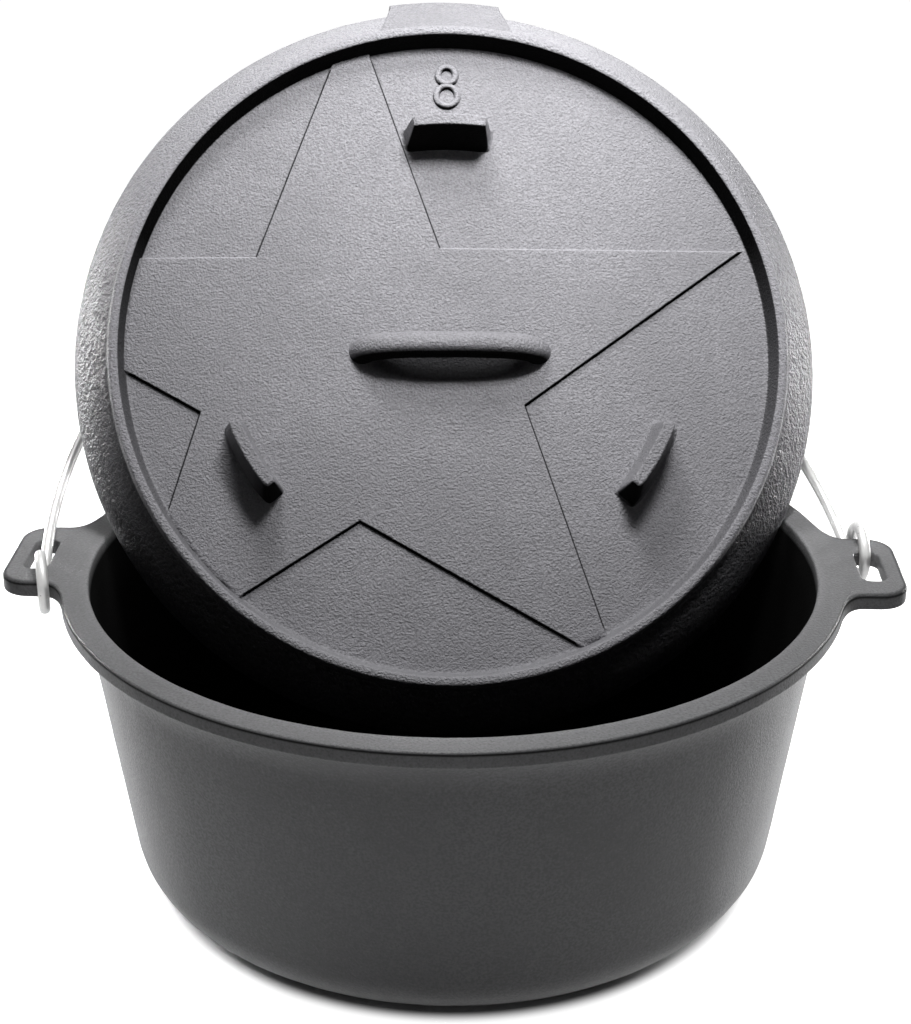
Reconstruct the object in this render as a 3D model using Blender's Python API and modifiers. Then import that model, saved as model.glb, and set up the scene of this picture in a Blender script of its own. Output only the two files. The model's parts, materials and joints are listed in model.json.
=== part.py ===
"""Camp oven of cast iron: a flat-bottomed pot with two looped ears, its flanged lid with three
legs and a lifting arch, and a bail of round wire. Metres, Z up, pot standing on Z = 0.

At rest the lid leans in the mouth of the pot and the bail lies back on its stop, as it is shown.
"""

import math

import bpy
import numpy as np
from mathutils import Matrix, Vector

# Pot
R_RIM = 0.1650  # outer radius of the flat rim
R_MOUTH = 0.1535  # inner radius of the rim
POT_HEIGHT = 0.1380
WALL = 0.0045
BASE_THICK = 0.0050
R_FOOT = 0.1406  # outer radius where the wall runs into the bottom corner
R_CORNER = 0.0250  # outer radius of that corner
RIM_THICK = 0.0070  # the rim and the ears are one flange of this thickness
MOUTH_CHAMFER = 0.0008
R_WALL_TOP = R_MOUTH + MOUTH_CHAMFER + WALL - 0.0017  # outer wall carried up to the rim plane

# Ears
HOLE_STEP = 0.0064  # from the rim's edge out to the slot for the bail
HOLE_WIDTH = 0.0106
HOLE_HALF = 0.0150
HOLE_CORNER = 0.0036
END_BAR = 0.0072  # iron left round the slot, at its outer end and at its sides
SIDE_BAR = 0.0140
EAR_CORNER = 0.0085
FLARE_RUN = 0.0150  # the flare runs this much wider than the ear before it meets the rim

# Bail
WIRE = 0.0048
EYE_RADIUS = 0.0112  # centre line of the eye that closes round the ear's bar
BAIL_REACH = 0.2120  # from the hinge line to the top of the bow
EYE_TURN = math.radians(288)  # how far the wire runs round the bar
EYE_IN = (0.0034, 0.0018)  # left and right eye, inside the middle of their slots
EYE_TWIST = math.radians(7.5)  # the left eye is bent in towards the pot at its front
BOW_SWAY = 0.050  # how far the bow hangs to the left, for each unit of its reach
STOP_GAP = 0.0004

# Lid, in its own frame: Z = 0 is the upper edge of its rim
R_LID = 0.1650
LID_EDGE = 0.0060  # thickness of its outer edge
EDGE_ROUND = 0.0009
FLOOR_IN = 0.0240  # the recessed floor ends this far inside the lid's edge
FLOOR_Z = 0.0165
PLATE = 0.0050  # thickness of the floor
CREST_Z = 0.0280  # height of the ring round the floor
CREST_STEP = 0.0022  # from the floor's edge out to the top of that ring
CREST_WIDTH = 0.0038
SPIGOT_PLAY = 0.0030  # between the lid's locating ring and the mouth of the pot
SPIGOT_DROP = 0.0045
LEG_CIRCLE = 0.0993
LEG_RISE = 0.0220  # above the floor
LEG_TOP = 0.0040
LEG_SPAN = math.radians(17.8)
ARCH_HALF = 0.0385  # half the span of the lifting arch
ARCH_BAR = 0.0114
ARCH_Z = 0.0305
TAB_PROUD = 0.0034  # how far the tab ends past the lid's edge
TAB_SPAN = math.radians(20.4)
STAR_RISE = 0.0010
# Corners of the star in parts of the floor's radius; the ring cuts its points off.
STAR = ((-0.601, 0.301), (-0.296, 1.118), (-0.028, 0.334), (0.921, 0.328), (0.231, -0.170),
        (0.499, -0.984), (-0.281, -0.532), (-1.017, -1.001), (-0.769, -0.193), (-1.624, 0.287))
NUMERAL_Y = 0.1228
NUMERAL_TUBE = 0.0015

# How the lid leans in the pot
LID_TILT = math.radians(57.06)  # between its floor and the ground
LID_YAW = math.radians(6.15)
LID_SPIN = math.radians(-1.5)
LID_BACK = 0.0697  # its centre behind the pot's axis
LID_SIDE = 0.0025
REST_GAP = 0.0006

STEPS = 96

R_FLOOR = R_LID - FLOOR_IN
R_CREST_IN = R_FLOOR + CREST_STEP
R_CREST_OUT = R_CREST_IN + CREST_WIDTH
HOLE_IN = R_RIM + HOLE_STEP
HOLE_OUT = HOLE_IN + HOLE_WIDTH
EAR_REACH = HOLE_OUT + END_BAR  # from the pot's axis to the end of an ear
EAR_HALF = HOLE_HALF + SIDE_BAR
EAR_FLARE = EAR_HALF + FLARE_RUN
BAR_Y = HOLE_HALF + SIDE_BAR / 2  # centre of the bar that an eye goes round
SLOT_X = (HOLE_IN + HOLE_OUT) / 2
HINGE_Z = POT_HEIGHT - RIM_THICK / 2
HINGE_YAW = math.atan2(BAR_Y, SLOT_X)
HINGE_HALF = math.hypot(BAR_Y, SLOT_X)


def bail_lean():
    """Angle from upright at which the left shank meets the back of its slot."""
    across = (HOLE_HALF + BAR_Y) * math.cos(HINGE_YAW) - WIRE / 2 * math.sin(HINGE_YAW)
    up = RIM_THICK / 2
    touch = EYE_RADIUS + WIRE / 2 + STOP_GAP
    return math.acos(touch / math.hypot(across, up)) - math.atan2(up, across)


def lid_height():
    """Height of the lid's centre over the rim when its lower edge just clears the mouth."""
    mouth = R_MOUTH - REST_GAP
    edge = LID_EDGE - EDGE_ROUND
    back = LID_BACK + edge * math.sin(LID_TILT)
    low, high = 0.0, R_LID * math.sin(LID_TILT)
    for _ in range(60):
        z = (low + high) / 2
        half = math.sqrt(max(R_LID**2 - (z / math.sin(LID_TILT)) ** 2, 0.0))
        depth = back - z / math.tan(LID_TILT)
        if math.hypot(abs(LID_SIDE) + half, depth) > mouth:
            low = z
        else:
            high = z
    return high + edge * math.cos(LID_TILT) - MOUTH_CHAMFER


def clear_scene():
    for obj in list(bpy.data.objects):
        bpy.data.objects.remove(obj, do_unlink=True)


def collection(name, hidden=False):
    coll = bpy.data.collections.new(name)
    bpy.context.scene.collection.children.link(coll)
    coll.hide_render = hidden
    return coll


def material(name, colour, roughness, metallic):
    mat = bpy.data.materials.new(name)
    mat.use_nodes = True
    shader = mat.node_tree.nodes["Principled BSDF"]
    shader.inputs["Base Color"].default_value = (*colour, 1.0)
    shader.inputs["Roughness"].default_value = roughness
    shader.inputs["Metallic"].default_value = metallic
    mat.diffuse_color = (*colour, 1.0)
    return mat


def add_mesh(name, points, edges, faces, coll, mat=None):
    mesh = bpy.data.meshes.new(name)
    mesh.from_pydata([tuple(p) for p in points], edges, faces)
    mesh.update()
    obj = bpy.data.objects.new(name, mesh)
    coll.objects.link(obj)
    if mat:
        mesh.materials.append(mat)
    return obj


def as_cutter(obj):
    obj.hide_render = True
    obj.display_type = "WIRE"
    return obj


def turned(name, profile, coll, mat=None):
    """Solid of revolution about Z from (radius, z) pairs, outer side from top to bottom."""
    points = [(r, 0.0, z) for r, z in profile]
    obj = add_mesh(name, points, [(i, i + 1) for i in range(len(points) - 1)], [], coll, mat)
    screw = obj.modifiers.new("Turn", "SCREW")
    screw.steps = screw.render_steps = STEPS
    screw.use_merge_vertices = True
    screw.merge_threshold = 0.00001
    screw.use_smooth_shade = True
    return obj


def curve_object(name, line, coll, radius, cyclic=True, sides=2, mat=None):
    """Round bar of this radius along a line of points."""
    curve = bpy.data.curves.new(name, "CURVE")
    curve.dimensions = "3D"
    curve.bevel_depth = radius
    curve.bevel_resolution = sides
    curve.use_fill_caps = True
    curve.twist_mode = "MINIMUM"
    spline = curve.splines.new("POLY")
    spline.points.add(len(line) - 1)
    for point, co in zip(spline.points, line):
        point.co = (*co, 1.0)
    spline.use_cyclic_u = cyclic
    obj = bpy.data.objects.new(name, curve)
    coll.objects.link(obj)
    if mat:
        curve.materials.append(mat)
    return obj


def meshed(obj, name, coll):
    """A mesh copy of a curve object, with doubled points welded."""
    graph = bpy.context.evaluated_depsgraph_get()
    mesh = bpy.data.meshes.new_from_object(obj.evaluated_get(graph))
    mesh.name = name
    bpy.data.objects.remove(obj, do_unlink=True)
    points = np.empty(len(mesh.vertices) * 3, np.float32)
    mesh.vertices.foreach_get("co", points)
    points = points.reshape(-1, 3)
    _, first, index = np.unique(np.round(points, 6), axis=0, return_index=True, return_inverse=True)
    index = index.reshape(-1)
    faces = []
    for poly in mesh.polygons:
        ring = [int(index[v]) for v in poly.vertices]
        ring = [v for i, v in enumerate(ring) if v != ring[i - 1]]
        if len(ring) > 2:
            faces.append(ring)
    bpy.data.meshes.remove(mesh)
    return add_mesh(name, points[first], [], faces, coll)


def boolean(obj, other, operation, name):
    mod = obj.modifiers.new(name, "BOOLEAN")
    mod.object = other
    mod.operation = operation
    mod.solver = "EXACT"


def rounded(obj, width, angle=40):
    mod = obj.modifiers.new("Soften", "BEVEL")
    mod.width = width
    mod.segments = 1
    mod.limit_method = "ANGLE"
    mod.angle_limit = math.radians(angle)


def arc(centre, radius, start, end, count):
    turn = np.linspace(start, end, count)
    return [(centre[0] + radius * math.cos(t), centre[1] + radius * math.sin(t)) for t in turn]


def rim_outline():
    """The rim's circle with both ears run into it by hollow flares."""
    side = math.asin(EAR_FLARE / R_RIM)
    foot = Vector((R_RIM * math.cos(side), EAR_FLARE))
    neck = Vector((HOLE_IN - 0.0010, EAR_HALF))
    knee = Vector((foot.x + (foot.y - neck.y) * math.tan(side), neck.y))
    flare = []
    for t in np.linspace(0.0, 1.0, 7)[1:-1]:
        flare.append(tuple(neck * (1 - t) ** 2 + knee * 2 * t * (1 - t) + foot * t**2))
    corner = (EAR_REACH - EAR_CORNER, EAR_HALF - EAR_CORNER)
    ear = arc(corner, EAR_CORNER, 0.0, math.pi / 2, 7) + [tuple(neck)] + flare + [tuple(foot)]
    rim = arc((0, 0), R_RIM, side, math.pi - side, 40)[1:-1]
    upper = ear + rim + [(-x, y) for x, y in reversed(ear)]
    return upper + [(-x, -y) for x, y in upper]


def slot_outline(sign):
    corners = ((1, 1, 0), (-1, 1, 1), (-1, -1, 2), (1, -1, 3))
    half = (HOLE_OUT - HOLE_IN) / 2
    points = []
    for sx, sy, quarter in corners:
        centre = (sign * SLOT_X + sx * (half - HOLE_CORNER), sy * (HOLE_HALF - HOLE_CORNER))
        points += arc(centre, HOLE_CORNER, quarter * math.pi / 2, (quarter + 1) * math.pi / 2, 5)
    return points


def prism(name, rings, coll):
    """A closed body lofted through rings of equal length, capped at both ends."""
    points = [tuple(p) for ring in rings for p in ring]
    n = len(rings[0])
    faces = [tuple(reversed(range(n))), tuple(range(len(points) - n, len(points)))]
    for k in range(len(rings) - 1):
        for i in range(n):
            j = (i + 1) % n
            faces.append((k * n + i, k * n + j, (k + 1) * n + j, (k + 1) * n + i))
    return add_mesh(name, points, [], faces, coll)


def plate(name, outline, low, high, coll):
    """A flat plate between two heights, as a helper for a Boolean."""
    rings = [[(x, y, z) for x, y in outline] for z in (low, high)]
    return as_cutter(prism(name, rings, coll))


def build_pot(coll, cutters, mat):
    z_corner = R_CORNER * (1 - math.sin(math.atan2(R_WALL_TOP - R_FOOT, POT_HEIGHT)))
    draft = math.atan2(R_WALL_TOP - R_FOOT, POT_HEIGHT - z_corner)

    def wall_at(z):
        return R_FOOT + (z - z_corner) * math.tan(draft)

    z_cove = POT_HEIGHT - 0.0210
    top = wall_at(POT_HEIGHT)
    under = R_RIM - 0.0024
    outer = [(0.0, POT_HEIGHT - 0.0030), (under, POT_HEIGHT - 0.0030),
             (under, POT_HEIGHT - RIM_THICK - 0.0002)]
    for t in np.linspace(0.0, 1.0, 6)[1:]:
        a = (under, POT_HEIGHT - RIM_THICK - 0.0002)
        b = (top - 0.0002, POT_HEIGHT - RIM_THICK - 0.0035)
        c = (wall_at(z_cove), z_cove)
        outer.append(tuple((1 - t) ** 2 * p + 2 * t * (1 - t) * q + t * t * s
                           for p, q, s in zip(a, b, c)))
    centre = (R_FOOT - R_CORNER * math.cos(draft), R_CORNER)
    outer += arc(centre, R_CORNER, -draft, -math.pi / 2, 9)
    outer.append((0.0, 0.0))
    outer[-2] = (outer[-2][0], 0.0)
    pot = turned("pot", outer, coll, mat)

    flange = plate("rim_plate", rim_outline(), POT_HEIGHT - RIM_THICK, POT_HEIGHT, cutters)
    rounded(flange, 0.0007)
    slots = [plate(f"bail_slot_{i + 1}", slot_outline(sign), POT_HEIGHT - 2 * RIM_THICK,
                   POT_HEIGHT + RIM_THICK, cutters) for i, sign in enumerate((-1, 1))]

    inner_corner = R_CORNER - WALL
    inner_centre = (wall_at(BASE_THICK + inner_corner) - (WALL + inner_corner) / math.cos(draft),
                    BASE_THICK + inner_corner)
    hollow = [(0.0, POT_HEIGHT + 0.0040), (R_MOUTH + MOUTH_CHAMFER + 0.0040, POT_HEIGHT + 0.0040),
              (R_MOUTH, POT_HEIGHT - MOUTH_CHAMFER),
              (wall_at(POT_HEIGHT - 0.0120) - WALL / math.cos(draft), POT_HEIGHT - 0.0120)]
    hollow += arc(inner_centre, inner_corner, -draft, -math.pi / 2, 8)
    hollow.append((0.0, BASE_THICK))
    hollow[-2] = (hollow[-2][0], BASE_THICK)
    hollow = as_cutter(turned("pot_hollow", hollow, cutters))

    boolean(pot, flange, "UNION", "Rim and ears")
    boolean(pot, hollow, "DIFFERENCE", "Hollow")
    for slot in slots:
        boolean(pot, slot, "DIFFERENCE", slot.name)
    return pot


def build_leg(index, coll):
    """One curved leg: a drafted bar laid along the leg circle."""
    middle = math.radians(90 - 120 * index)
    z0, z1 = FLOOR_Z - 0.0020, FLOOR_Z + LEG_RISE
    half_top, half_foot = LEG_SPAN / 2, LEG_SPAN / 2 * 1.26
    rings = []
    for s in np.linspace(1.0, -1.0, 9):
        low, high = middle + s * half_foot, middle + s * half_top
        ring = []
        for radius, z, turn in ((LEG_CIRCLE - 0.0072, z0, low), (LEG_CIRCLE + 0.0068, z0, low),
                                (LEG_CIRCLE + LEG_TOP / 2, z1, high),
                                (LEG_CIRCLE - LEG_TOP / 2, z1, high)):
            ring.append((radius * math.cos(turn), radius * math.sin(turn), z))
        rings.append(ring)
    leg = as_cutter(prism(f"leg_{index + 1}", rings, coll))
    rounded(leg, 0.0006)
    return leg


def build_tab(coll):
    """The lifting tab: a pad that leaves the slope of the shoulder and ends past its edge."""
    reach = R_LID + TAB_PROUD
    rings = []
    for s in np.linspace(1.0, -1.0, 9):
        ring = []
        for radius, z, half in ((R_CREST_OUT + 0.0028, -LID_EDGE + 0.0008, 1.10),
                                (reach, -LID_EDGE + 0.0008, 1.0),
                                (reach, 0.0055, 1.0),
                                (R_CREST_OUT + 0.0008, CREST_Z - 0.0035, 1.10)):
            turn = math.pi / 2 + s * half * TAB_SPAN / 2
            ring.append((radius * math.cos(turn), radius * math.sin(turn), z))
        rings.append(ring)
    return as_cutter(prism("lift_tab", rings, coll))


def build_lid(coll, cutters, mat):
    spigot = R_MOUTH - SPIGOT_PLAY
    under = FLOOR_Z - PLATE
    profile = [
        (0.0, FLOOR_Z), (R_FLOOR - 0.0010, FLOOR_Z), (R_FLOOR + 0.0004, FLOOR_Z + 0.0009),
        (R_CREST_IN - 0.0006, CREST_Z - 0.0024), (R_CREST_IN + 0.0002, CREST_Z - 0.0007),
        (R_CREST_IN + 0.0014, CREST_Z), (R_CREST_OUT - 0.0016, CREST_Z),
        (R_CREST_OUT - 0.0004, CREST_Z - 0.0008), (R_CREST_OUT, CREST_Z - 0.0026),
        (R_CREST_OUT + 0.0012, CREST_Z - 0.0048), (R_CREST_OUT + 0.0032, CREST_Z - 0.0066),
        (R_LID - 0.0105, 0.0165), (R_LID - 0.0060, 0.0106), (R_LID - 0.0025, 0.0050),
        (R_LID - 0.0006, 0.0010), (R_LID, -0.0008), (R_LID, -LID_EDGE + EDGE_ROUND),
        (R_LID - EDGE_ROUND, -LID_EDGE), (spigot + 0.0012, -LID_EDGE),
        (spigot, -LID_EDGE - 0.0010), (spigot - 0.0002, -LID_EDGE - SPIGOT_DROP + 0.0010),
        (spigot - 0.0012, -LID_EDGE - SPIGOT_DROP), (spigot - 0.0045, -LID_EDGE - SPIGOT_DROP),
        (spigot - 0.0056, -LID_EDGE - SPIGOT_DROP + 0.0012), (spigot - 0.0072, -0.0012),
        (spigot - 0.0105, under - 0.0058), (spigot - 0.0155, under - 0.0018),
        (spigot - 0.0220, under), (0.0, under),
    ]
    lid = turned("lid", profile, coll, mat)

    star = [(x * R_FLOOR, y * R_FLOOR) for x, y in reversed(STAR)]
    star = plate("star", star, FLOOR_Z - 0.0020, FLOOR_Z + STAR_RISE, cutters)
    disc = [(0.0, FLOOR_Z + 0.006), (R_FLOOR + 0.0035, FLOOR_Z + 0.006),
            (R_FLOOR + 0.0035, FLOOR_Z - 0.006), (0.0, FLOOR_Z - 0.006)]
    disc = as_cutter(turned("star_bound", disc, cutters))
    boolean(star, disc, "INTERSECT", "Cut to the floor")
    pieces = [star]

    pieces += [build_leg(i, cutters) for i in range(3)]
    pieces.append(build_tab(cutters))

    foot = FLOOR_Z - 0.0025
    power = 2 / 2.7
    bow = [(-ARCH_HALF * math.copysign(abs(math.cos(t)) ** power, math.cos(t)), 0.0,
            foot + (ARCH_Z - foot) * abs(math.sin(t)) ** power)
           for t in np.linspace(0.0, math.pi, 27)]
    bow = curve_object("arch", bow, cutters, ARCH_BAR / 2, cyclic=False, sides=3)
    pieces.append(as_cutter(meshed(bow, "arch", cutters)))

    for k, (dy, radius) in enumerate(((0.0049, 0.0039), (-0.0048, 0.0047))):
        ring = [(x, y, FLOOR_Z + 0.0002) for x, y in arc((0, NUMERAL_Y + dy), radius, 0,
                                                        2 * math.pi * 23 / 24, 24)]
        ring = curve_object("numeral", ring, cutters, NUMERAL_TUBE, sides=1)
        pieces.append(as_cutter(meshed(ring, f"numeral_{k + 1}", cutters)))

    place = (Matrix.Translation((-math.sin(LID_YAW) * LID_BACK + math.cos(LID_YAW) * LID_SIDE,
                                 math.cos(LID_YAW) * LID_BACK + math.sin(LID_YAW) * LID_SIDE,
                                 POT_HEIGHT + lid_height()))
             @ Matrix.Rotation(LID_YAW, 4, "Z") @ Matrix.Rotation(LID_TILT, 4, "X")
             @ Matrix.Rotation(LID_SPIN, 4, "Z"))
    for piece in pieces:
        boolean(lid, piece, "UNION", piece.name)
    for piece in [lid, disc, *pieces]:
        piece.matrix_world = place
    return lid


def bail_path():
    """Centre line in the bail's frame: X along the hinge, Z towards the bow, Y to the back."""
    lean = bail_lean()
    left, right = -HINGE_HALF + EYE_IN[0], HINGE_HALF - EYE_IN[1]

    def eye(u, twist, turns):
        depth = EYE_RADIUS * (1 - np.cos(turns - lean))
        return [(u + d * math.tan(twist), EYE_RADIUS * math.cos(t), EYE_RADIUS * math.sin(t))
                for t, d in zip(turns, depth)]

    turns = np.linspace(-EYE_TURN, 0.0, 25)
    left_eye = eye(left, EYE_TWIST, turns)
    right_eye = eye(right, 0.0, turns)
    start = left_eye[-1][0]
    middle, half = (start + right) / 2, (right - start) / 2
    bow = [(middle - half * math.cos(t) - BOW_SWAY * BAIL_REACH * math.sin(t), EYE_RADIUS,
            BAIL_REACH * math.sin(t)) for t in np.linspace(0.0, math.pi, 57)]
    return left_eye[:-1] + bow + right_eye[-2::-1]


def build_bail(coll, mat):
    bail = curve_object("bail", bail_path(), coll, WIRE / 2, cyclic=False, sides=3, mat=mat)
    bail.matrix_world = (Matrix.Translation((0.0, 0.0, HINGE_Z))
                         @ Matrix.Rotation(HINGE_YAW, 4, "Z")
                         @ Matrix.Rotation(-bail_lean(), 4, "X"))
    return bail


def main():
    clear_scene()
    parts = collection("camp_oven")
    cutters = collection("camp_oven_cutters", hidden=True)
    iron = material("pot_iron", (0.052, 0.053, 0.056), 0.72, 0.35)
    lid_iron = material("lid_iron", (0.060, 0.061, 0.064), 0.70, 0.35)
    steel = material("bail_steel", (0.78, 0.78, 0.76), 0.32, 1.0)
    build_pot(parts, cutters, iron)
    build_lid(parts, cutters, lid_iron)
    build_bail(parts, steel)
    bpy.context.view_layer.update()


main()
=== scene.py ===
"""Looks of a cast iron camp oven: the pot with its looped ears, the lid that leans in its mouth,
and the bail of bright wire. Metres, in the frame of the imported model."""

import json
import math

import bpy
import numpy as np
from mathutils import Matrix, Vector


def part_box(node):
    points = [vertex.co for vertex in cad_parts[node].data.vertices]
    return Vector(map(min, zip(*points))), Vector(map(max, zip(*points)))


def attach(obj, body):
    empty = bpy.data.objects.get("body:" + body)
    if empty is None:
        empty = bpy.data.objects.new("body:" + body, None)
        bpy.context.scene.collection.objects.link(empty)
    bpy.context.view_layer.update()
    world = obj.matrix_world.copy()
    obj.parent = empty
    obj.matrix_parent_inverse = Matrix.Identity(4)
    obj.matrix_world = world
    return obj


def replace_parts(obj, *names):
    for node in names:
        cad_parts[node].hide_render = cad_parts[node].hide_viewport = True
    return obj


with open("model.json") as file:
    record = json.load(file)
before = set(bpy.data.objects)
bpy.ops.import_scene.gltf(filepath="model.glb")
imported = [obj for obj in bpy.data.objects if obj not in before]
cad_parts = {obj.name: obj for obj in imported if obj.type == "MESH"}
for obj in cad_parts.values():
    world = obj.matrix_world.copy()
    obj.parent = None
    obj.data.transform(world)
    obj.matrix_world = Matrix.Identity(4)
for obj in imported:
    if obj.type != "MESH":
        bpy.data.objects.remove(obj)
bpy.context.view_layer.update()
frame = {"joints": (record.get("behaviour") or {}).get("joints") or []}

bl_info = {
    "name": "Camp Oven",
    "version": (1, 0, 0),
    "blender": (4, 5, 0),
    "location": "3D View > Sidebar > Camp Oven",
    "description": "Builds a cast iron camp oven, its lid and its bail round a packed model",
    "category": "Add Mesh",
}

JOINTS = {joint["name"]: joint for joint in frame["joints"]}
POT_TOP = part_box("pot")[1].z
TAU = 2 * math.pi
WHITE = (1.0, 1.0, 1.0, 1.0)


# Sizes and colours that a user would change

def length(name, description, default):
    """A size in metres."""
    return bpy.props.FloatProperty(name=name, description=description, default=default,
                                   unit="LENGTH", precision=4)


def angle(name, description, degrees):
    """An angle, given in degrees and kept in radians."""
    return bpy.props.FloatProperty(name=name, description=description, unit="ROTATION",
                                   default=math.radians(degrees))


def share(name, description, default):
    """A number between 0 and 1."""
    return bpy.props.FloatProperty(name=name, description=description, default=default,
                                   min=0.0, max=1.0, subtype="FACTOR")


def amount(name, description, default):
    """A plain number."""
    return bpy.props.FloatProperty(name=name, description=description, default=default)


def colour(name, description, default):
    """A linear colour."""
    return bpy.props.FloatVectorProperty(name=name, description=description, default=default,
                                         size=3, min=0.0, max=1.0, subtype="COLOR")


class PotSizes(bpy.types.PropertyGroup):
    """Sizes of the pot's casting."""

    rim: length("Rim", "Outer radius of the flat rim", 0.1650)
    mouth: length("Mouth", "Inner radius of the rim", 0.1535)
    height: length("Height", "From the ground to the rim's top", POT_TOP)
    flange: length("Flange", "Thickness of the rim and the ears", 0.0070)
    rounding: length("Rounding", "Radius of the flange's worn edges", 0.0010)
    wall: length("Wall", "Thickness of the wall", 0.0045)
    base: length("Base", "Thickness of the base", 0.0050)
    foot: length("Foot", "Outer radius where the wall meets the bottom corner", 0.1406)
    wall_top: length("Wall top", "Outer radius of the wall carried up to the rim", 0.1571)
    corner: length("Corner", "Outer radius of the bottom corner", 0.0250)
    cove: length("Cove", "How far below the rim its hollow underside ends", 0.0210)
    ear_reach: length("Ear reach", "From the axis to the end of an ear", 0.1892)
    ear_half: length("Ear half width", "Half the width of an ear", 0.0290)
    ear_corner: length("Ear corner", "Corner radius of an ear", 0.0120)
    ear_foot: angle("Ear foot", "Half the turn over which an ear joins the rim", 15.75)
    slot_in: length("Slot inside", "Inner side of the slot for the bail", 0.1714)
    slot_out: length("Slot outside", "Outer side of the slot", 0.1820)
    slot_half: length("Slot half length", "Half the length of the slot", 0.0150)
    slot_corner: length("Slot corner", "Corner radius of the slot", 0.0046)
    columns: bpy.props.IntProperty(name="Columns", default=320, min=160,
                                   description="Points round the pot, a multiple of 160")


class LidSizes(bpy.types.PropertyGroup):
    """Sizes of the lid's casting, in its own frame, and how it leans."""

    radius: length("Radius", "Outer radius of the lid", 0.1650)
    edge: length("Edge", "Thickness of its outer edge", 0.0060)
    floor: length("Floor", "Radius of the sunken floor", 0.1410)
    floor_height: length("Floor height", "Height of the floor over the lid's edge", 0.0165)
    plate: length("Plate", "Thickness of the floor", 0.0050)
    crest: length("Crest", "Height of the ring round the floor", 0.0280)
    crest_in: length("Crest inside", "Inner radius of the ring's top", 0.1432)
    crest_out: length("Crest outside", "Outer radius of the ring's top", 0.1470)
    spigot: length("Spigot", "Outer radius of the ring that sits in the mouth", 0.1505)
    spigot_drop: length("Spigot drop", "How far that ring reaches below the edge", 0.0045)
    tab_reach: length("Tab reach", "From the lid's centre to the end of its tab", 0.1684)
    tab_half: angle("Tab half width", "Half the turn that the tab takes", 8.75)
    star_rise: length("Star rise", "Height of the star's step", 0.0018)
    leg_circle: length("Leg circle", "Radius on which the legs stand", 0.0993)
    leg_rise: length("Leg rise", "Height of a leg over the floor", 0.0220)
    leg_half: length("Leg half length", "Half the length of a leg's top", 0.0154)
    arch_half: length("Arch half span", "Half the span of the lifting arch", 0.0385)
    arch_bar: length("Arch bar", "Diameter of the arch's bar", 0.0114)
    arch_height: length("Arch height", "Height of the bar's middle over the lid's edge", 0.0305)
    numeral_place: length("Numeral place", "From the lid's centre to the numeral", 0.1228)
    numeral_stroke: length("Numeral stroke", "Radius of the numeral's raised stroke", 0.0015)
    back: length("Back", "The lid's centre behind the pot's axis", 0.0697)
    side: length("Side", "The lid's centre beside the pot's axis", 0.0025)
    lift: length("Lift", "The lid's centre over the pot's rim", 0.0652)
    tilt: angle("Tilt", "Between the lid's floor and the ground", 57.06)
    yaw: angle("Yaw", "Turn of the leaning lid about the upright", 6.15)
    spin: angle("Spin", "Turn of the lid about its own axis", -1.5)


class BailSizes(bpy.types.PropertyGroup):
    """Sizes of the bail, in its hinge's frame."""

    wire: length("Wire", "Diameter of the wire", 0.0048)
    eye: length("Eye", "Radius of the eyes' centre line", 0.0112)
    reach: length("Reach", "From the hinge to the top of the bow", 0.2120)
    half: length("Hinge half length", "From the pot's axis to the middle of an eye's bar", 0.17806)
    left_in: length("Left eye inwards", "Left eye, inside its slot's middle", 0.0034)
    right_in: length("Right eye inwards", "Right eye, inside its slot's middle", 0.0018)
    twist: angle("Eye twist", "How far the left eye's front is bent in to the pot", 7.5)
    sway: amount("Sway", "How far the bow hangs to the left, per unit of its reach", 0.050)
    eye_turn: angle("Eye turn", "How far the wire runs round the bar", 288.0)
    lean: angle("Lean", "How far the bow lies back from upright", 62.013)


class Finishes(bpy.types.PropertyGroup):
    """Colours and surface of the iron and the wire."""

    lid_iron: colour("Lid iron", "Colour of the lid's seasoned iron", (0.240, 0.237, 0.252))
    pot_iron: colour("Pot iron", "Colour of the pot's seasoned iron", (0.260, 0.260, 0.266))
    # The colour of all painted shade, the pot's inside among it.
    soot: colour("Inside", "Colour of the pot's inside", (0.004, 0.004, 0.004))
    iron_roughness: share("Iron roughness", "Roughness of the open surface", 0.42)
    grain: length("Grain", "Height of the sand's grain", 0.00035)
    lid_grain: length("Lid grain", "Height of the grain on the lid", 0.0012)
    zinc: colour("Zinc", "Colour of the plated wire", (0.86, 0.86, 0.85))
    zinc_roughness: share("Zinc roughness", "Roughness of the plated wire", 0.34)
    ripple: length("Ripple", "Unevenness of the cast surfaces", 0.00005)


class StageSizes(bpy.types.PropertyGroup):
    """Floor, lamps and camera."""

    floor_half: length("Floor half width", "Half the side of the floor", 6.0)
    floor_drop: length("Floor drop", "How far the floor lies below the pot's bottom", 0.0003)
    focal: amount("Focal length", "Focal length in millimetres over the frame's height", 70.81)
    eye_x: length("Camera X", "Where the camera stands", 0.0297)
    eye_y: length("Camera Y", "Where the camera stands", -0.7826)
    eye_z: length("Camera Z", "Where the camera stands", 0.4915)
    look_down: angle("Look down", "How far the camera looks down", 22.94)
    look_turn: angle("Look turn", "How far the camera turns left of straight back", 2.10)
    key_power: amount("Key power", "Power of the soft box over the lid's top", 0.95)
    top_power: amount("Top power", "Power of the soft box high over the pot", 3.4)
    side_power: amount("Side power", "Power of each soft box beside the pot", 0.58)
    fill: share("Fill", "Brightness of the surroundings as a lamp", 0.03)


# Shapes: whole arrays, metres

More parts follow.
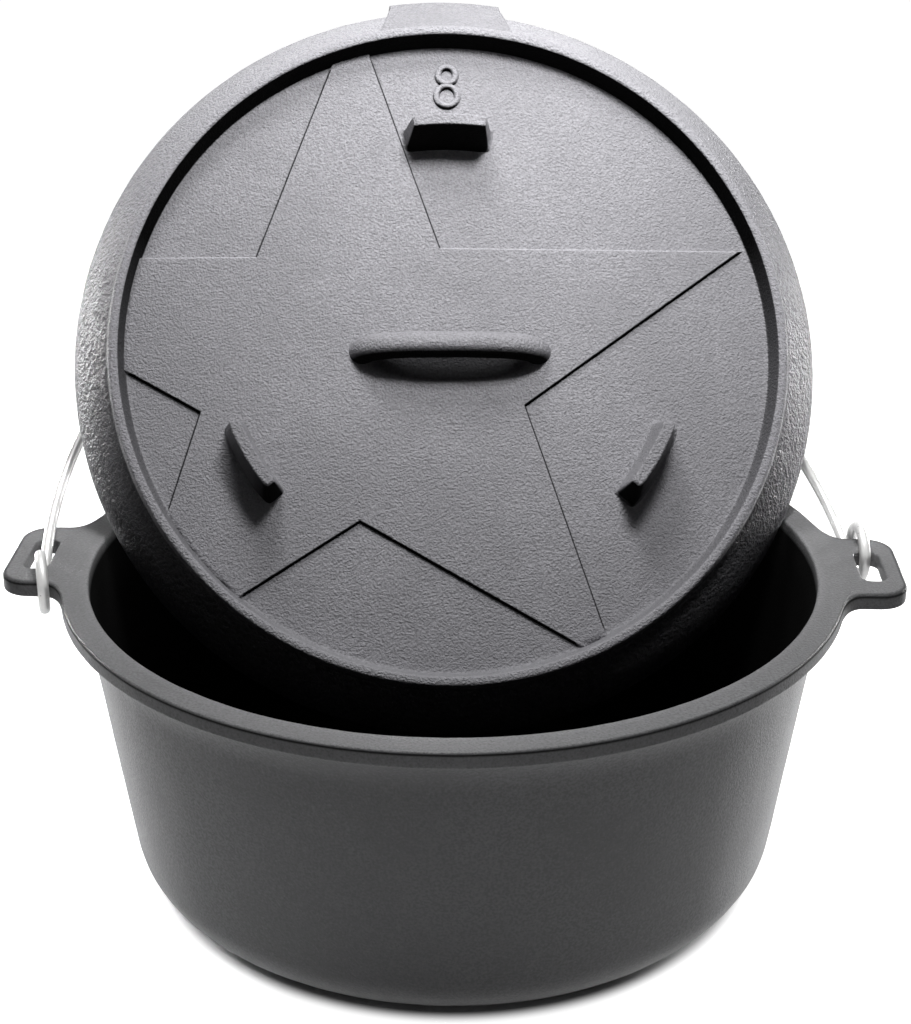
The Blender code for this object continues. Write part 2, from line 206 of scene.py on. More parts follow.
def softened(points, radii, steps=5):
    """A polyline with each inner corner C replaced by a parabola: from the point d before C to
    the point d after it, (1-t)^2 P + 2t(1-t) C + t^2 Q, with d at most 0.45 of either side."""
    points = np.asarray(points, float)
    sides = np.diff(points, axis=0)
    runs = np.linalg.norm(sides, axis=1)
    unit = sides / runs[:, None]
    reach = np.minimum(np.broadcast_to(radii, len(points) - 2),
                       0.45 * np.minimum(runs[:-1], runs[1:]))[:, None]
    corner = points[1:-1]
    before, after = corner - unit[:-1] * reach, corner + unit[1:] * reach
    t = np.linspace(0, 1, steps)[None, :, None]
    bends = ((1 - t) ** 2 * before[:, None] + 2 * t * (1 - t) * corner[:, None]
             + t ** 2 * after[:, None]).reshape(-1, points.shape[1])
    return np.concatenate([points[:1], bends, points[-1:]])


def ramp(values, low, high):
    """From nought at the first bound to one at the second, straight between, level beyond."""
    return np.clip((values - low) / (high - low), 0, 1)


def distances(points):
    """How far along a polyline each of its points lies."""
    return np.concatenate([[0.0], np.cumsum(np.linalg.norm(np.diff(points, axis=0), axis=1))])


def points_at(where, along, points):
    """Points between those of a polyline, where its distances along are these."""
    return np.stack([np.interp(where, along, axis) for axis in points.T], axis=1)


def directions(vectors):
    """The same vectors, one long."""
    return vectors / np.linalg.norm(vectors, axis=1)[:, None]


def raised(plan, height):
    """Rows of points (x, y) set at a height."""
    return np.concatenate([plan, np.broadcast_to(height, plan.shape[:2] + (1,))], axis=2)


def divided(points, step):
    """The same polyline with more points, so that no stretch is longer than the step."""
    points = np.asarray(points, float)
    along = distances(points)
    more = np.union1d(along, np.arange(0.0, along[-1], step))
    more = more[np.concatenate([[True], np.diff(more) > step * 0.02])]
    more[-1] = along[-1]
    return points_at(more, along, points)


def circle_arc(centre, radius, start, end, count):
    """Points centre + radius (cos a, sin a), from one angle to the other."""
    a = np.linspace(start, end, count)
    return np.stack([centre[0] + radius * np.cos(a), centre[1] + radius * np.sin(a)], axis=1)


def revolved(profile, turns):
    """A profile of (radius, height) carried round Z: (r cos u, r sin u, z)."""
    r, z = np.asarray(profile, float).T
    return np.stack([r[:, None] * np.cos(turns), r[:, None] * np.sin(turns),
                     np.repeat(z[:, None], len(turns), axis=1)], axis=2)


def ripple(points, size, seed, waves=30):
    """Smooth unevenness of about one: a sum of cosines cos(k.p + phase) over drawn wave
    vectors k, whose lengths lie round 2 pi over the size."""
    draw = np.random.default_rng(seed)
    k = draw.normal(size=(waves, 3))
    k *= TAU / size * draw.uniform(0.6, 1.6, (waves, 1)) / np.linalg.norm(k, axis=1)[:, None]
    return np.cos(points @ k.T + draw.uniform(0, TAU, waves)).sum(axis=1) * math.sqrt(2 / waves)


def placed(points, matrix):
    """Points turned and moved by a 3 x 4 matrix."""
    return points @ matrix[:, :3].T + matrix[:, 3]


def turn_about(axis, turn):
    """Rotation matrix about a named axis."""
    c, s = math.cos(turn), math.sin(turn)
    return np.array({"X": [[1, 0, 0], [0, c, -s], [0, s, c]],
                     "Z": [[c, -s, 0], [s, c, 0], [0, 0, 1]]}[axis])


def swept(line, across, radii, around):
    """A tube: a circle of each radius round each point of a line, in the plane of a given
    direction across it and of that crossed with the line's tangent, and a pole at both ends."""
    tangent = np.gradient(line, axis=0)
    across = across - tangent * ((across * tangent).sum(1) / (tangent ** 2).sum(1))[:, None]
    across = directions(across)
    other = directions(np.cross(across, tangent))
    a = np.linspace(0, TAU, around, endpoint=False)[None, :, None]
    ring = across[:, None] * np.cos(a) + other[:, None] * np.sin(a)
    radii = np.broadcast_to(radii, len(line))[:, None, None]
    tube = line[:, None] + ring * radii
    first, last = (np.broadcast_to(end, (1, around, 3)) for end in (line[0], line[-1]))
    return np.concatenate([first, tube, last])


def skin(name, grids, finish, body, unevenness=0.0, **marks):
    """One closed mesh from grids of points, each running round in its columns. Points that
    meet are welded, a quad with two corners in one becomes a triangle, and the points move
    along their normals by the ripple. Rows run so that (next row) x (next column) faces out.
    Each mark is a list of one array for each grid, kept as an attribute of the points."""
    quads, first = [], 0
    for grid in grids:
        rows, columns = grid.shape[:2]
        i, j = np.arange(rows - 1)[:, None] * columns, np.arange(columns)[None, :]
        k = (j + 1) % columns
        corners = np.broadcast_arrays(i + j, i + columns + j, i + columns + k, i + k)
        quads.append(first + np.stack(corners, axis=-1).reshape(-1, 4))
        first += rows * columns
    points = np.concatenate([grid.reshape(-1, 3) for grid in grids])
    quads = np.concatenate(quads)
    keys = np.round(points * 1e6).astype(np.int64)
    _, kept, index = np.unique(keys, axis=0, return_index=True, return_inverse=True)
    points, quads = points[kept], index.reshape(-1)[quads]
    same = quads == np.roll(quads, -1, axis=1)
    whole, once = quads[same.sum(1) == 0], same.sum(1) == 1
    threes = quads[once][~same[once]].reshape(-1, 3)

    mesh = bpy.data.meshes.new(name)
    mesh.from_pydata(points.tolist(), [], whole.tolist() + threes.tolist())
    mesh.update()
    mesh.shade_smooth()
    if unevenness:
        normals = np.empty(len(points) * 3, np.float32)
        mesh.vertex_normals.foreach_get("vector", normals)
        height = 0.6 * ripple(points, 0.021, 3) + 0.4 * ripple(points, 0.008, 5)
        points = points + normals.reshape(-1, 3) * (unevenness * height)[:, None]
        mesh.vertices.foreach_set("co", points.astype(np.float32).ravel())
    for label, values in marks.items():
        flat = np.concatenate([(value + 0 * grid[..., 0]).reshape(-1)
                               for value, grid in zip(values, grids)])[kept]
        layer = mesh.attributes.new(label, "FLOAT", "POINT")
        layer.data.foreach_set("value", flat.astype(np.float32))
    mesh.materials.append(finish)
    mesh.update()
    obj = bpy.data.objects.new(name, mesh)
    bpy.context.scene.collection.objects.link(obj)
    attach(obj, body)
    return obj


# Pot

def wall_radius(s, z):
    """Outer radius of the pot's wall at a height: a straight draft from foot to rim."""
    low = s.corner * (1 - math.sin(math.atan2(s.wall_top - s.foot, s.height)))
    return s.foot + (z - low) * (s.wall_top - s.foot) / (s.height - low)


def pot_inside(s):
    """Profile from the middle of the floor, up the wall and over the mouth to the rim."""
    slope = math.atan2(s.wall_top - s.foot, s.height - s.corner)
    radius = s.corner - s.wall
    low = s.base + radius
    centre = (wall_radius(s, low) - (s.wall + radius) / math.cos(slope), low)
    bend = circle_arc(centre, radius, -math.pi / 2, -slope, 14)
    below = s.height - 0.012
    top = softened([(wall_radius(s, below) - s.wall / math.cos(slope), below),
                    (s.mouth - 0.0002, s.height - 0.004), (s.mouth, s.height),
                    (s.rim - s.rounding, s.height)], [0.003, 0.0012], 7)
    return divided(np.concatenate([[(0.0, s.base)], bend, top]), 0.0032)


def pot_outside(s):
    """Profile from under the rim's edge, through the cove, down the wall to the base."""
    slope = math.atan2(s.wall_top - s.foot, s.height - s.corner)
    under = s.height - s.flange
    cove = s.height - s.cove
    t = np.linspace(0, 1, 12)[:, None]
    start, knee, end = (np.array(p) for p in ((s.rim - 0.0024, under - 0.0002),
                                              (s.wall_top - 0.0006, under - 0.0035),
                                              (wall_radius(s, cove), cove)))
    hollow = (1 - t) ** 2 * start + 2 * t * (1 - t) * knee + t ** 2 * end
    centre = (s.foot - s.corner * math.cos(slope), s.corner)
    bend = circle_arc(centre, s.corner, -slope, -math.pi / 2, 18)
    return divided(np.concatenate([[(s.rim - s.rounding, under)], hollow, bend,
                                   [(0.0, 0.0)]]), 0.0036)


def ear_edge(s, count):
    """Outline of the ear at +X from its foot at -Y to that at +Y, as points and normals:
    a parabola out of the rim, the straight side, a corner arc and the straight end."""
    a = s.ear_foot
    foot = np.array([s.rim * math.cos(a), s.rim * math.sin(a)])
    neck = np.array([s.slot_in - 0.001, s.ear_half])
    knee = np.array([foot[0] + (foot[1] - neck[1]) * math.tan(a), neck[1]])
    t = np.linspace(0, 1, 40)[1:, None]
    flare = (1 - t) ** 2 * neck + 2 * t * (1 - t) * knee + t ** 2 * foot
    centre = (s.ear_reach - s.ear_corner, s.ear_half - s.ear_corner)
    corner = circle_arc(centre, s.ear_corner, 0, math.pi / 2, 40)
    upper = np.concatenate([[(s.ear_reach, 0.0)], corner, [neck], flare])
    line = np.concatenate([upper[:0:-1] * (1, -1), upper])
    along = distances(line)
    where = np.linspace(0, along[-1], count + 1)
    near = 0.0006
    behind, ahead = (points_at(where + way, along, line) for way in (-near, near))
    tangent = ahead - behind
    normal = np.stack([tangent[:, 1], -tangent[:, 0]], axis=1)
    normal[0], normal[-1] = (math.cos(a), -math.sin(a)), (math.cos(a), math.sin(a))
    return points_at(where, along, line), directions(normal)


def slot_edge(s, rays):
    """Where rays from the slot's middle meet its rounded rectangle, and the outward normals:
    the side x = a, the side y = b, or the corner circle, whichever the ray leaves through."""
    a, b, c = (s.slot_out - s.slot_in) / 2, s.slot_half, s.slot_corner
    sign = np.where(rays < 0, -1.0, 1.0)
    d = np.abs(directions(rays))
    far = 1e9
    on_x = np.where(d[:, 0] > 0, a / np.maximum(d[:, 0], 1e-12), far)
    on_y = np.where(d[:, 1] > 0, b / np.maximum(d[:, 1], 1e-12), far)
    q = np.array([a - c, b - c])
    along = d @ q
    on_c = along + np.sqrt(np.maximum(along ** 2 - (q @ q) + c * c, 0))
    side = on_x * d[:, 1] <= b - c
    end = on_y * d[:, 0] <= a - c
    t = np.where(side, on_x, np.where(end, on_y, on_c))
    point = d * t[:, None]
    normal = np.where(side[:, None], (1.0, 0.0), np.where(end[:, None], (0.0, 1.0),
                                                          (point - q) / c))
    return point * sign, normal * sign


def ear_grid(s, edge, normal, feet):
    """One ear: rows from its outline in over the underside, up through the slot's wall with
    rounded edges, and out again over the top. Columns run along the ear's outline and back
    along the rim's circle."""
    middle = np.array([(s.slot_in + s.slot_out) / 2, 0.0])
    rim = s.rim - s.rounding
    turns = TAU / s.columns * np.arange(feet - 1, -feet, -1)
    back = np.stack([rim * np.cos(turns), rim * np.sin(turns)], axis=1)
    outer = np.concatenate([edge - normal * s.rounding, back])
    slot, away = slot_edge(s, outer - middle)
    slot = slot + middle
    soft = 0.0008
    lip = slot + away * soft
    low, high = s.height - s.flange, s.height
    t = np.linspace(0, 1, 8)[:, None, None]
    flat = outer + (lip - outer) * t
    a = np.linspace(0, math.pi / 2, 5)[1:, None, None]
    bend = slot + away * soft * (1 - np.sin(a))
    rise = np.broadcast_to(soft * (1 - np.cos(a)), bend.shape[:2] + (1,))
    wall = raised(np.broadcast_to(slot, (1,) + slot.shape), (low + high) / 2)
    return np.concatenate([raised(flat, low), raised(bend, low + rise), wall,
                           raised(bend, high - rise)[::-1], raised(flat, high)[::-1]])


def flange_edge(s, edge, normal, feet):
    """The rounded outer edge of rim and ears: the outline moved in by e (1 - sin a) while the
    height drops by e (1 - cos a), then straight, then the same upside down."""
    turns = TAU / s.columns * np.arange(feet + 1, s.columns // 2 - feet)
    arc = np.stack([np.cos(turns), np.sin(turns)], axis=1)
    line = np.concatenate([edge, arc * s.rim, -edge, -arc * s.rim])
    out = np.concatenate([normal, arc, -normal, -arc])
    e = s.rounding
    a = np.linspace(0, math.pi / 2, 6)
    inset = np.concatenate([e * (1 - np.sin(a)), [0.0] * 3, e * (1 - np.sin(a))[::-1]])
    low, high = s.height - s.flange, s.height
    drop = e * (1 - np.cos(a))
    straight = [high - 1.3 * e, high - 2 * e, (low + high) / 2]
    z = np.concatenate([high - drop, straight, (low + drop)[::-1]])
    return raised(line[None] - out[None] * inset[:, None, None], z[:, None, None])


def pot_grids(s):
    """All surfaces of the pot, with how much wear and painted light and how much painted shade
    each point has: the inside is painted black as shade, the rim is painted darker from its front
    to the ears, a painted dark line of shade runs below its upper edge, the ears are painted
    darker, the mouth's edge and the rim's upper edge are rubbed, and the rim's top at its front
    and the rim's side are painted lighter as light."""
    step = TAU / s.columns
    feet = round(s.ear_foot / step)
    turns = step * np.arange(s.columns)
    edge, normal = ear_edge(s, 96)
    inside = revolved(pot_inside(s), turns)
    outside = revolved(pot_outside(s), turns)
    rim = flange_edge(s, edge, normal, feet)
    ear = ear_grid(s, edge, normal, feet)
    other = ear * (-1, -1, 1)
    grids = [inside, outside, rim, ear, other]
    radius, z = np.hypot(inside[..., 0], inside[..., 1]), inside[..., 2]
    mouth = 0.7 * np.exp(-((radius - s.mouth - 0.0003) / 0.0012) ** 2) * (z > s.height - 0.002)
    # Painted light: the rim's top is lighter at its front.
    front = 0.5 * np.exp(-(inside[..., 0] / 0.07) ** 2) * (inside[..., 1] < 0)
    # Painted shade: the inside is black below the rim's top.
    black = ramp(s.height - z, 0.0010, 0.0050)
    # Painted shade: the rim's top and edge darker towards the ears on both sides.
    dull, rim_edge_shade = (0.28 * np.abs(grid[..., 0]) / s.rim for grid in (inside, rim))
    down = s.height - rim[..., 2]
    # Painted shade: a dark line just below the rim's upper edge.
    line = 0.85 * (down > 0.7 * s.rounding) * (down < 1.5 * s.rounding)
    # The rim's upper edge is worn; its side below is painted lighter as light.
    rubbed = 0.9 * (down < 0.5 * s.rounding) + 0.5 * (down > 1.8 * s.rounding)
    rim_edge_shade = rim_edge_shade * (1 + 1.4 * ramp(down, 0.0022, 0.0008))
    # Painted shade: the ears a little darker.
    ear_shade = 0.30
    wear = [mouth + front, 0, rubbed, 0, 0]
    soot = [np.maximum(black, dull), 0, np.maximum(rim_edge_shade, line), ear_shade, ear_shade]
    return grids, wear, soot


# Lid

def lid_frame(s):
    """The lid's place as a 3 x 4 matrix: tilted back, turned a little, in the pot's mouth."""
    turn = turn_about("Z", s.yaw) @ turn_about("X", s.tilt) @ turn_about("Z", s.spin)
    centre = turn_about("Z", s.yaw) @ np.array([s.side, s.back, 0.0])
    return np.column_stack([turn, centre + (0, 0, POT_TOP + s.lift)])


# The shoulder from the ring down: how far in from the lid's outer radius, and the height
SHOULDER = ((0.0105, 0.0165), (0.0058, 0.0106), (0.0022, 0.0048), (0.0, -0.0006))


def lid_profile(s):
    """Profile from the middle of the floor, over the ring and the shoulder, and back below.
    Returned with the numbers of the rows at the ring's outer foot and at the lower edge."""
    floor, crest, out = s.floor_height, s.crest, s.crest_out
    corners = [(0.0, floor), (s.floor, floor), (s.crest_in, crest), (out, crest),
               (out + 0.0012, crest - 0.0050),
               *((s.radius - inwards, height) for inwards, height in SHOULDER),
               (s.radius, -s.edge), (s.spigot + 0.0010, -s.edge),
               (s.spigot - 0.0002, -s.edge - s.spigot_drop),
               (s.spigot - 0.0053, -s.edge - s.spigot_drop), (s.spigot - 0.0072, -0.0012),
               (s.spigot - 0.0105, floor - s.plate - 0.0058), (s.spigot - 0.0220, floor - s.plate),
               (0.0, floor - s.plate)]
    rounding = [0.0016, 0.0013, 0.0016, 0.0016, 0.004, 0.004, 0.004, 0.004, 0.0010, 0.0008,
                0.0010, 0.0012, 0.004, 0.004, 0.006]
    line = divided(softened(corners, rounding, 6), 0.0030)
    foot = int(np.argmin(np.hypot(line[:, 0] - out - 0.0010, line[:, 1] - crest + 0.0040)))
    edge = int(np.argmin(np.hypot(line[:, 0] - s.radius + 0.0008, line[:, 1] + s.edge)))
    return line, foot, edge


def lid_turns(s):
    """Angles round the lid, closer together where the tab's two sides stand."""
    even = np.linspace(0, TAU, 384, endpoint=False)
    side = np.concatenate([np.linspace(0.95, 1.40, 32) * s.tab_half * k for k in (-1, 1)])
    return np.unique(np.round(np.concatenate([even, math.pi / 2 + side]), 6))


def lid_grids(s):
    """The turned casting, whose shoulder gives way to the flat tab at its rear: between two
    angles each shoulder row moves to the tab's own profile at the same share of its length.
    With it come the marks: the ring's top and the outer edge are rubbed, the shoulder's upper
    part is painted lighter as light, the underside, the shoulder's lower part and the ring's inner
    wall, most on its upper part, are painted dark as shade, and the shoulder is coarse, most at
    its two sides."""
    line, foot, edge = lid_profile(s)
    turns = lid_turns(s)
    rows = len(line)
    tab = softened([line[foot], (s.tab_reach - 0.0016, 0.0072), (s.tab_reach, 0.0042),
                    (s.tab_reach, -s.edge + 0.0006), (s.tab_reach - 0.0014, -s.edge)],
                   [0.0012, 0.0012, 0.0008], 6)

    def along(path):
        run = distances(path)
        return run / run[-1]

    part = along(line[foot:edge + 1])
    target = line.copy()
    target[foot:edge + 1] = points_at(part, along(tab), tab)
    half = np.full(rows, s.tab_half)
    half[foot:edge + 1] *= 1 + 0.33 * ramp(part, 0.6, 0.0)
    off = np.abs(turns[None] - math.pi / 2)
    side = 0.004
    t = ramp(off, half[:, None] + side, half[:, None] - side)
    t = t * t * (3 - 2 * t)
    mixed = line[:, None] * (1 - t[..., None]) + target[:, None] * t[..., None]
    r, z = mixed[..., 0], mixed[..., 1]
    grid = np.stack([r * np.cos(turns), r * np.sin(turns), z], axis=2)
    row = np.arange(rows)[:, None]
    upward = np.sin(turns)
    on_shoulder = (row > foot) & (row < edge - 4)
    on_wall = ((r > s.floor - 0.0006) & (r < s.crest_in + 0.0004)
               & (z > s.floor_height + 0.0004) & (z < s.crest - 0.0006))
    ring_top = np.exp(-((r - (s.crest_in + s.crest_out) / 2) / 0.0032) ** 2)
    outer_edge = np.exp(-((z + 0.0010) / 0.0022) ** 2)
    lit = ramp(1.8 * np.cos(turns - math.radians(105)), 0.5, 1.5)
    # Wear on the ring's top and the outer edge; painted light on the shoulder's upper part, but
    # not on the tab.
    wear = (0.6 * ring_top * (z > s.crest - 0.002) + 0.5 * outer_edge * (r > s.radius - 0.0016)
            + 0.9 * (1 - t) * on_shoulder * lit)
    # Painted shade: the underside, the shoulder's lower part, and the ring's inner wall most on
    # its upper part.
    soot = (0.6 * (row > edge + 2) + 0.55 * on_shoulder * ramp(-upward, 0.08, 0.48)
            + on_wall * ramp(upward, -0.9, 0.35))
    sides = ramp(off, math.radians(50), math.radians(90))
    coarse = ramp(row, foot, foot + 4) * (row <= edge + 2) * (0.25 + 0.75 * sides)
    return grid, np.clip(wear, 0, 1), soot, coarse


# The star's notches and tips by turns, and the length in which they are given
STAR_UNIT = 0.1385
STAR_CORNERS = ((-0.612, 0.306), (-0.301, 1.138), (-0.028, 0.340), (0.938, 0.334),
                (0.235, -0.173), (0.508, -1.002), (-0.286, -0.542), (-1.035, -1.019),
                (-0.783, -0.196), (-1.653, 0.292))


def star_grid(s):
    """The raised star. From its middle each ray leaves at the least, over the notches, of the
    greater of the ray's distances to the notch's two side lines; the ring's circle cuts it off.
    Rows shift the lines in while they climb the step, then shrink to the middle. The step is
    painted dark as shade where it faces down the lid or aside and painted light as a highlight
    where it faces up, and the floor is painted dark as the arch's shadow in an ellipse below the
    arch."""
    corner = np.array(STAR_CORNERS) * STAR_UNIT
    notch, tip = corner[0::2], corner[1::2]
    middle = notch.mean(axis=0)
    ways = np.arctan2(*(corner - middle).T[::-1])
    turns = np.unique(np.round(np.concatenate([np.linspace(-math.pi, math.pi, 900,
                                                           endpoint=False), ways]), 5))
    ray = np.stack([np.cos(turns), np.sin(turns)], axis=1)
    bound = s.crest_in - 0.0010

    def lines(tips):
        side = tips - notch
        normal = directions(np.stack([side[:, 1], -side[:, 0]], axis=1))
        return normal * np.sign(((notch - middle) * normal).sum(1))[:, None]

    before, after = lines(np.roll(tip, 1, axis=0)), lines(tip)

    def outline(inset):
        reach = []
        for normal in (before, after):
            away = ((notch - middle) * normal).sum(1) - inset
            speed = ray @ normal.T
            reach.append(np.where(speed > 1e-6, away / np.maximum(speed, 1e-6), 1e9))
        star = np.maximum(*reach).min(axis=1)
        along = ray @ middle
        circle = -along + np.sqrt(along ** 2 - middle @ middle + bound ** 2)
        return np.minimum(star, circle)

    rise = s.star_rise
    # How far in and how high each row lies on the way up the step
    steps = ((-0.0008, -0.0006), (-0.0005, 0.00005), (0.0, 0.00008), (0.0001, 0.85 * rise),
             (0.0003, 0.96 * rise), (0.0007, rise))
    rows = [(outline(inset), z) for inset, z in steps]
    rows += [(rows[-1][0] * k, rise) for k in np.linspace(1, 0, 36)[1:]]
    top = np.stack([np.concatenate([middle + ray * reach[:, None],
                                    np.full((len(ray), 1), s.floor_height + z)], axis=1)
                    for reach, z in rows[::-1]])
    under = top[-1:] * (1, 1, 0) + (0, 0, s.floor_height - 0.0012)
    pole = np.broadcast_to(np.array([*middle, s.floor_height - 0.0012]), under.shape)
    grid = np.concatenate([top, under, pole])
    edge = np.roll(top[-1], -1, axis=0) - np.roll(top[-1], 1, axis=0)
    facing = -edge[:, 0] / np.maximum(np.hypot(edge[:, 0], edge[:, 1]), 1e-9)
    row = np.arange(len(grid))[:, None]
    step = (row > len(top) - 6) & (row < len(top) - 2)
    foot = (row >= len(top) - 2) & (row < len(top))
    free = np.hypot(top[-1][:, 0], top[-1][:, 1]) < bound - 0.0006
    # Painted highlight where the step faces up; painted shade where it faces down the lid or
    # aside.
    wear = free * ramp(facing, 0.80, 0.95) * (step | foot)
    soot = free * (ramp(facing, 0.80, 0.50) * step + ramp(facing, 0.45, -0.15) * foot)
    # Painted shadow of the arch: a dark ellipse on the floor below it.
    half_long, half_wide, below = 0.0350, 0.0085, 0.0050
    painted_arch_shadow = np.hypot(grid[..., 0] / half_long, (grid[..., 1] + below) / half_wide)
    soot = np.maximum(soot, 0.72 * ramp(painted_arch_shadow, 1.15, 0.90) * (row < len(top)))
    return grid, wear, soot


# Levels of a leg from below: from its foot (0) or its top (1), how far above that, how much
# longer than half its top, and half its width
LEG_LEVELS = ((0, -0.0010, 0.0058, 0.0074), (0, 0.0002, 0.0046, 0.0062),
              (0, 0.0014, 0.0036, 0.0052), (1, -0.0006, 0.0006, 0.0027),
              (1, 0.0, -0.0006, 0.0020), (1, 0.0, -0.0020, 0.0))


def leg_grids(s):
    """Three drafted legs. Rows are rounded rectangles in (arc, radial) that shrink as they
    rise; the rectangle |x/a|^n + |y/b|^n = 1 is bent onto the leg circle."""
    turns = np.linspace(0, TAU, 112, endpoint=False)
    c, d = np.cos(turns).round(12), np.sin(turns).round(12)
    corners = [(end * s.leg_rise + up, s.leg_half + longer, width)
               for end, up, longer, width in LEG_LEVELS]
    rounding = [0.0008, 0.0012, 0.0006, 0.0004]
    levels = divided(softened(corners, rounding), 0.0012)[::-1]
    power = 2 / 7.0
    x = np.sign(c) * np.abs(c) ** power
    y = np.sign(d) * np.abs(d) ** power
    arc = levels[:, 1:2] * x
    out = levels[:, 2:3] * y
    z = np.broadcast_to(s.floor_height + levels[:, :1], arc.shape)
    pole_top = np.broadcast_to([[0.0]], (1, len(turns)))
    grids = []
    for middle in (90, -30, 210):
        way = math.radians(middle) - np.concatenate([arc, pole_top]) / s.leg_circle
        radius = s.leg_circle + np.concatenate([out, pole_top])
        height = np.concatenate([z, z[-1:]])
        grid = np.stack([radius * np.cos(way), radius * np.sin(way), height], axis=2)
        # The leg's side that faces down the lid is painted dark as shade.
        grids.append((grid, 0.0, lower_side_shade(grid, s)))
    return grids


def lower_side_shade(grid, s):
    """Painted shade: one where the side of a raised piece faces down the leaning lid, nought
    elsewhere.
    """
    along = np.roll(grid, -1, axis=1) - np.roll(grid, 1, axis=1)
    up = np.gradient(grid, axis=0)
    normal = np.cross(up, along)
    normal /= np.maximum(np.linalg.norm(normal, axis=2), 1e-12)[..., None]
    return ramp(-normal[..., 1], 0.25, 0.70) * (grid[..., 2] > s.floor_height)


def arch_grid(s):
    """The lifting arch: a bar along the upper half of |x/a|^2.7 + |z/b|^2.7 = 1, flared where
    it meets the floor."""
    t = np.linspace(0, math.pi, 121)
    foot = s.floor_height - 0.0030
    power = 2 / 2.7
    line = np.stack([-s.arch_half * np.sign(np.cos(t)) * np.abs(np.cos(t)) ** power, 0 * t,
                     foot + (s.arch_height - foot) * np.abs(np.sin(t)) ** power], axis=1)
    over = ramp(line[:, 2], s.floor_height, s.floor_height + 0.0030)
    radius = s.arch_bar / 2 + 0.0007 * (1 - over) ** 2
    across = np.broadcast_to([0.0, 1.0, 0.0], line.shape)
    grid = swept(line, across, radius, 40)
    # The bar's side that faces down the lid is painted dark as shade.
    return grid, 0.0, lower_side_shade(grid, s)


# The numeral's rings: how far each lies above the numeral's place, and its radius
NUMERAL_RINGS = ((0.0049, 0.0039), (-0.0048, 0.0047))


def numeral_grids(s):
    """The size numeral: two rings of a raised stroke, one over the other, half sunk, painted dark
    as shade at their foot and on their side that faces down the lid: ((R + r cos b) cos a, (R + r
    cos b) sin a, 1.3 r sin b)."""
    a = np.linspace(0, TAU, 96, endpoint=False)[:, None]
    b = np.linspace(0, TAU, 20, endpoint=False)[None, :]
    grids = []
    for up, radius in NUMERAL_RINGS:
        out = radius + s.numeral_stroke * np.cos(b)
        ring = np.stack([out * np.cos(a), s.numeral_place + up + out * np.sin(a),
                         s.floor_height + 1.3 * s.numeral_stroke * np.sin(b) + 0 * a], axis=2)
        grid = np.concatenate([ring, ring[:1]])
        # Painted shade: a dark outline at the stroke's foot, and its side that faces down the lid.
        foot = ramp(grid[..., 2], s.floor_height + 0.0009, s.floor_height + 0.0004)
        grids.append((grid, 0.5, np.maximum(lower_side_shade(grid, s), np.minimum(foot, 0.85))))
    return grids


# Bail

def bail_grid(s):
    """The wire: an eye round the hinge, bent in by (1 - cos) from its rear to its front, the
    bow as half an ellipse (-h cos t, e, reach sin t) that sways to the left in step with its
    height, and the other eye; then leaned back and set on the hinge."""
    joint = JOINTS["bail_swing"]
    a = np.linspace(-s.eye_turn, 0, 60)
    ring = np.stack([0 * a, s.eye * np.cos(a), s.eye * np.sin(a)], axis=1)
    bend = s.eye * (1 - np.cos(a - s.lean)) * math.tan(s.twist)
    left = ring + (s.left_in - s.half, 0, 0) + bend[:, None] * (1, 0, 0)
    right = ring + (s.half - s.right_in, 0, 0)
    middle, half = (left[-1, 0] + right[-1, 0]) / 2, (right[-1, 0] - left[-1, 0]) / 2
    t = np.linspace(0, math.pi, 240)
    up = s.reach * np.sin(t)
    bow = np.stack([middle - half * np.cos(t) - s.sway * up, np.full_like(t, s.eye), up], 1)
    line = np.concatenate([left[:-1], bow, right[-2::-1]])
    radial = ring[:-1] / s.eye
    across = np.concatenate([radial, np.broadcast_to([0.0, 1.0, 0.0], bow.shape), radial[::-1]])
    ends = np.ones(len(line))
    ends[[0, -1]] = 0.86
    tube = swept(line, across, s.wire / 2 * ends, 24)
    yaw = math.atan2(joint["axis"][1], joint["axis"][0])
    turn = turn_about("Z", yaw) @ turn_about("X", -s.lean)
    return placed(tube, np.column_stack([turn, joint["pos_m"]]))


# Materials

class Value:
    """A socket whose sums are written as plain Python: each adds its Math node."""

    def __init__(self, nodes, socket):
        self.nodes, self.socket = nodes, socket

    def maths(self, operation, *values):
        return self.nodes.add("ShaderNodeMath", {"operation": operation},
                              dict(enumerate(values)))

    def __add__(self, other):
        return self.maths("ADD", self, other)

    def __sub__(self, other):
        return self.maths("SUBTRACT", self, other)

    def __rsub__(self, other):
        return self.maths("SUBTRACT", other, self)

    def __mul__(self, other):
        return self.maths("MULTIPLY", self, other)

    __radd__, __rmul__ = __add__, __mul__

    def between(self, low, high):
        """Nought below the lower number, one above the upper, smooth between."""
        return self.nodes.add("ShaderNodeMapRange", {"interpolation_type": "SMOOTHSTEP"},
                              {"Value": self, "From Min": low, "From Max": high})


